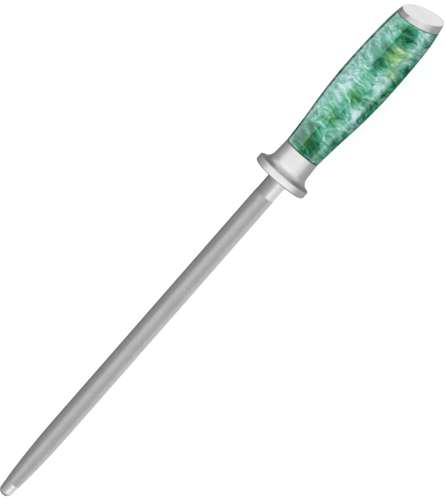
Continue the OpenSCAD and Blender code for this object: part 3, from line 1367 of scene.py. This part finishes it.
@dataclass(frozen=True)
class Softbox:
    """A rectangular soft light that faces the rod's axis.

    Attributes:
        name: What it lights.
        station: Where along the axis it points, in mm.
        bearing: Its direction round the axis, in degrees.
        forward: Its lean along the axis towards the end cap, in degrees.
        distance: Its distance from the axis, in metres.
        length: Its size along the axis, in metres.
        width: Its size round the axis, in metres.
        glow: Its radiance.
        lit: Names of the pieces that it lights, or none for all of them.
        colour: Its tint.
        gloss: Whether it shows in reflections.
        diffuse: Whether it lights matt surfaces.
    """

    name: str
    station: float
    bearing: float
    forward: float
    distance: float
    length: float
    width: float
    glow: float
    lit: tuple[str, ...] = ()
    colour: Colour = (1.0, 1.0, 1.0)
    gloss: bool = True
    diffuse: bool = True

    def place(self) -> None:
        """Makes the light."""
        light = bpy.data.lights.new(self.name, "AREA")
        light.shape = "RECTANGLE"
        light.size = self.length
        light.size_y = self.width
        light.energy = WATTS * self.glow * self.length * self.width
        light.color = self.colour
        lamp = bpy.data.objects.new(self.name, light)
        bpy.context.scene.collection.objects.link(lamp)
        spot, *axes = look_at_rod(self.station, self.bearing, self.forward, self.distance)
        turned = Matrix(axes).transposed().to_4x4()
        lamp.matrix_world = Matrix.Translation(spot) @ turned
        lamp.visible_camera = False
        lamp.visible_glossy = self.gloss
        lamp.visible_diffuse = self.diffuse
        if self.lit:
            group = bpy.data.collections.new(f"lit by {self.name}")
            for name in self.lit:
                group.objects.link(bpy.data.objects[name])
            lamp.light_linking.receiver_collection = group


@dataclass(frozen=True)
class Studio:
    """Camera, floor, sky and lights around the steel.

    Attributes:
        aim: Station of the axis that the view is centred on, in mm.
        below: How far the view's centre lies below the axis as the camera sees it, in mm.
        swing: How far the camera stands round towards the end cap, in degrees.
        roll: Angle of the rod as the camera sees it, in degrees.
        distance: Distance of the camera, in metres.
        lens: Focal length, in mm.
        sensor: Longer side of the sensor, in mm.
        rest_x: Station under which the tapered rod touches the floor, in mm.
        rest_r: Radius of the rod there, in mm.
        guard_x: Station at which the guard's rim touches it.
        floor_side: Size of the floor, in metres.
        floor_glow: Light that comes through the floor.
        near: Nearest distance that the camera sees, in metres.
        far: Farthest distance that it sees, in metres.
    """

    aim: float = -54.2
    below: float = 2.56
    swing: float = 8.8
    roll: float = 48.77
    distance: float = 2.5
    lens: float = 302.98
    sensor: float = 36.0
    rest_x: float = -231.0
    rest_r: float = 5.76
    guard_x: float = 3.0
    floor_side: float = 8.0
    floor_glow: float = 0.87
    near: float = 0.05
    far: float = 50.0

    def camera(self) -> None:
        """Sets the camera."""
        data = bpy.data.cameras.new("camera")
        data.lens = self.lens
        data.sensor_width = self.sensor
        data.clip_start = self.near
        data.clip_end = self.far
        camera = bpy.data.objects.new("camera", data)
        bpy.context.scene.collection.objects.link(camera)
        bpy.context.scene.camera = camera
        spot, along, side, back = look_at_rod(self.aim, 0.0, self.swing, self.distance)
        roll = math.radians(self.roll)
        right = along * math.cos(roll) - side * math.sin(roll)
        up = along * math.sin(roll) + side * math.cos(roll)
        turned = Matrix((right, up, back)).transposed().to_4x4()
        camera.matrix_world = Matrix.Translation(spot - side * self.below * MM) @ turned

    def floor(self) -> None:
        """Lays the floor under the guard's rim and the tapered rod."""
        guard_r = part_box("guard_bolster")[1].y / MM
        contact = Vector((self.guard_x, 0.0, -guard_r)) * MM
        tilt = math.atan2(guard_r - self.rest_r, self.guard_x - self.rest_x)
        mesh = bpy.data.meshes.new("floor")
        reach = self.floor_side / 2
        corners = [(-reach, -reach, 0), (reach, -reach, 0), (reach, reach, 0), (-reach, reach, 0)]
        mesh.from_pydata(corners, [], [(0, 1, 2, 3)])
        mesh.transform(Matrix.Translation(contact) @ Matrix.Rotation(tilt, 4, "Y"))
        floor = bpy.data.objects.new("floor", mesh)
        bpy.context.scene.collection.objects.link(floor)
        dress(floor, self._floor_paint())
        floor.visible_glossy = floor.visible_shadow = floor.visible_diffuse = False

    def _floor_paint(self) -> bpy.types.Material:
        """Pale paper that glows a little, like a lit table.

        Returns:
            The material.
        """
        material = bpy.data.materials.new("floor_paper")
        material.use_nodes = True
        nodes = material.node_tree.nodes
        links = material.node_tree.links
        nodes.clear()
        paper_frame = nodes.new("NodeFrame")
        paper_frame.label = "Lit paper"
        paper = nodes.new("ShaderNodeBsdfDiffuse")
        paper.label = "Paper"
        paper.inputs["Color"].default_value = (0.8, 0.8, 0.8, 1.0)
        glow = nodes.new("ShaderNodeEmission")
        glow.label = "Light through the paper"
        glow.inputs["Strength"].default_value = self.floor_glow
        both = nodes.new("ShaderNodeAddShader")
        both.label = "Paper and its glow"
        output = nodes.new("ShaderNodeOutputMaterial")
        output.label = "Floor"
        links.new(paper.outputs["BSDF"], both.inputs[0])
        links.new(glow.outputs["Emission"], both.inputs[1])
        links.new(both.outputs["Shader"], output.inputs["Surface"])
        for column, node in enumerate((paper, glow, both, output)):
            node.parent = paper_frame
            node.location = (250 * column, 0)
        return material

    def sky(self) -> None:
        """A pale room that is dark under the horizon."""
        world = bpy.data.worlds.new("room")
        bpy.context.scene.world = world
        world.use_nodes = True
        nodes = world.node_tree.nodes
        links = world.node_tree.links
        nodes.clear()
        room_frame = nodes.new("NodeFrame")
        room_frame.label = "Light of the room"
        direction = nodes.new("ShaderNodeTexCoord")
        direction.label = "Direction"
        axes = nodes.new("ShaderNodeSeparateXYZ")
        axes.label = "Height"
        links.new(direction.outputs["Generated"], axes.inputs["Vector"])
        horizon = nodes.new("ShaderNodeMapRange")
        horizon.label = "Dark floor to pale room"
        for name, value in zip(RANGE, (-0.05, 0.6, 0.03, 0.34)):
            horizon.inputs[name].default_value = value
        links.new(axes.outputs["Z"], horizon.inputs["Value"])
        room = nodes.new("ShaderNodeBackground")
        room.label = "Room light"
        links.new(horizon.outputs["Result"], room.inputs["Strength"])
        backdrop_frame = nodes.new("NodeFrame")
        backdrop_frame.label = "Backdrop behind the floor"
        seen = nodes.new("ShaderNodeBackground")
        seen.label = "Backdrop"
        seen.inputs["Color"].default_value = (0.93, 0.93, 0.93, 1.0)
        ray = nodes.new("ShaderNodeLightPath")
        ray.label = "Seen directly"
        choice = nodes.new("ShaderNodeMixShader")
        choice.label = "Room or backdrop"
        links.new(ray.outputs["Is Camera Ray"], choice.inputs["Fac"])
        links.new(room.outputs["Background"], choice.inputs[1])
        links.new(seen.outputs["Background"], choice.inputs[2])
        output = nodes.new("ShaderNodeOutputWorld")
        output.label = "World"
        links.new(choice.outputs["Shader"], output.inputs["Surface"])
        for group, top, row in (
            (room_frame, 0, (direction, axes, horizon, room)),
            (backdrop_frame, -300, (ray, seen, choice, output)),
        ):
            for column, node in enumerate(row):
                node.parent = group
                node.location = (250 * column, top)

    def lights(self) -> None:
        """Hangs the soft lights."""
        polished = ("rod",)
        coat = ("grit_coat",)
        bolster = ("bolster",)
        cap = ("steel_cap",)
        steel = bolster + cap
        grip = ("resin_grip", "front_fibre_ring", "rear_fibre_ring")
        blue = (0.72, 0.93, 1.0)
        teal = (0.8, 1.0, 1.0)
        boxes = (
            Softbox("coat_back", -120, 115, 0, 0.6, 1.4, 1.8, 0.1, coat),
            Softbox("coat_front", -120, 14, 0, 0.6, 1.4, 0.72, 0.6, coat),
            Softbox("coat_low", -120, -55, 0, 0.6, 1.4, 0.82, 0.48, coat),
            Softbox("coat_under", -120, -135, 0, 0.6, 1.4, 1.5, 0.74, coat),
            Softbox("polish_back", -120, 115, 0, 0.6, 1.4, 1.8, 0.05, polished),
            Softbox("polish_front", -120, 0, 0, 0.6, 1.4, 0.9, 0.22, polished),
            Softbox("polish_strip", -120, -42, 0, 0.6, 1.4, 0.45, 1.1, polished),
            Softbox("polish_under", -120, -115, 0, 0.6, 1.4, 1.5, 0.74, polished),
            Softbox("bolster_front", 8, 0, 0, 0.6, 1.0, 3.4, 0.52, bolster),
            Softbox("cap_front", 130, -5, 0, 0.6, 1.0, 2.5, 0.52, cap),
            Softbox("steel_back", 70, 110, 0, 0.6, 1.0, 1.0, 0.1, steel),
            Softbox("steel_strip", 70, -30, 0, 0.6, 1.0, 0.4, 0.14, steel),
            Softbox("steel_low", 70, -105, 0, 0.6, 1.0, 1.2, 0.3, steel),
            Softbox("nose", -254, 0, -65, 0.6, 1.0, 2.0, 0.3, polished),
            Softbox("guard_front", 0, 0, -62, 0.6, 1.0, 2.4, 0.5, bolster),
            Softbox("fillet", 8, 0, 64, 0.6, 1.0, 2.4, 0.42, bolster),
            Softbox("cap_face", 130, 165, 40, 0.5, 0.5, 0.6, 0.8, cap),
            Softbox("grip_roof", 70, 77, 0, 0.4, 0.8, 0.98, 2.3, grip, blue, diffuse=False),
            Softbox("grip_low", 70, -68, 0, 0.6, 0.8, 0.65, 0.9, grip, teal, diffuse=False),
            Softbox("grip_strip", 70, -74, 0, 0.58, 0.8, 0.2, 1.5, grip, diffuse=False),
            Softbox("grip_fill", 70, -8, 0, 0.9, 1.2, 2.0, 1.4, grip, gloss=False),
            Softbox("grip_back", 70, 180, 0, 0.9, 1.2, 1.4, 0.8, grip, gloss=False),
            Softbox("steel_rear", -50, 180, 0, 0.8, 1.6, 1.0, 0.15, polished + coat + bolster),
            Softbox("floor_wash", -54, 45, 0, 2.5, 3.0, 3.0, 0.3, ("floor",), gloss=False),
        )
        for box in boxes:
            box.place()
            LOG.info("light %s", box.name)

    def build(self) -> None:
        """Builds the whole studio."""
        self.camera()
        self.floor()
        self.sky()
        self.lights()
        bpy.context.scene.view_settings.view_transform = "Standard"


POLISHED_STEEL = PlainFinish(
    Slot.POLISHED_STEEL,
    dark=(0.6, 0.6, 0.61),
    light=(0.72, 0.72, 0.73),
    cloud=0.12,
    grain=(0.12, 5.0, 5.0),
    depth=0.004,
    smooth=0.42,
    rough=0.52,
)
SATIN_STEEL = PlainFinish(
    Slot.SATIN_STEEL,
    dark=(0.72, 0.72, 0.72),
    light=(0.86, 0.86, 0.86),
    cloud=0.16,
    grain=(2.2, 2.2, 2.2),
    depth=0.03,
    smooth=0.34,
    rough=0.46,
    speck=0.25,
)
PLATED_STEEL = PlainFinish(
    Slot.PLATED_STEEL,
    dark=(0.58, 0.58, 0.6),
    light=(0.74, 0.72, 0.64),
    cloud=0.3,
    grain=(4.0, 1.5, 1.5),
    depth=0.01,
    smooth=0.22,
    rough=0.38,
)
SPRING_STEEL = PlainFinish(
    Slot.SPRING_STEEL,
    dark=(0.12, 0.125, 0.14),
    light=(0.26, 0.26, 0.28),
    cloud=0.4,
    grain=(3.0, 3.0, 3.0),
    depth=0.01,
    smooth=0.3,
    rough=0.5,
)
CAP_STEEL = PlainFinish(
    Slot.CAP_STEEL,
    dark=(0.74, 0.74, 0.74),
    light=(0.86, 0.86, 0.86),
    cloud=0.12,
    grain=(1.2, 6.0, 1.2),
    depth=0.008,
    smooth=0.3,
    rough=0.42,
)
FIBRE = PlainFinish(
    Slot.FIBRE,
    dark=(0.004, 0.005, 0.005),
    light=(0.02, 0.022, 0.021),
    cloud=0.8,
    grain=(2.0, 2.0, 2.0),
    depth=0.02,
    smooth=0.55,
    rough=0.65,
    metal=0.0,
)
EPOXY = PlainFinish(
    Slot.EPOXY,
    dark=(0.42, 0.3, 0.1),
    light=(0.66, 0.52, 0.26),
    cloud=0.4,
    grain=(0.4, 0.4, 0.4),
    depth=0.01,
    smooth=0.12,
    rough=0.2,
    metal=0.0,
    clear=0.35,
)


def build_pieces() -> None:
    """Builds the visible pieces, and gives the hidden CAD nodes their finishes."""
    fibre = FIBRE.material()
    core, coat = Rod().build()
    fit(core, "rod_core", Slot.POLISHED_STEEL, POLISHED_STEEL.material())
    fit(coat, "abrasive_coat", Slot.GRIT, GritFinish().material())
    casting, front_ring = Bolster().build()
    fit(casting, "guard_bolster", Slot.SATIN_STEEL, SATIN_STEEL.material())
    fit(front_ring, "front_liner", Slot.FIBRE, fibre)
    resin, rear_ring, cap = Handle().build()
    fit(resin, "resin_handle", Slot.RESIN, ResinFinish().material())
    fit(rear_ring, "rear_liner", Slot.FIBRE, fibre)
    fit(cap, "end_cap", Slot.CAP_STEEL, CAP_STEEL.material())

    plated = PLATED_STEEL.material()
    epoxy = EPOXY.material()
    hidden = {
        "clamp_washer": plated,
        "spring_washer": SPRING_STEEL.material(),
        "tang_nut": plated,
        "tang_epoxy": epoxy,
        "cap_epoxy": epoxy,
    }
    for node, finish in hidden.items():
        dress(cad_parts[node], finish)
        LOG.info("%s keeps its CAD shape in %s", node, finish.name)


def main() -> None:
    """Builds the sharpening steel and its studio."""
    logging.basicConfig(level=logging.INFO, format="%(name)s: %(message)s")
    build_pieces()
    Studio().build()


if __name__ == "__main__":
    main()
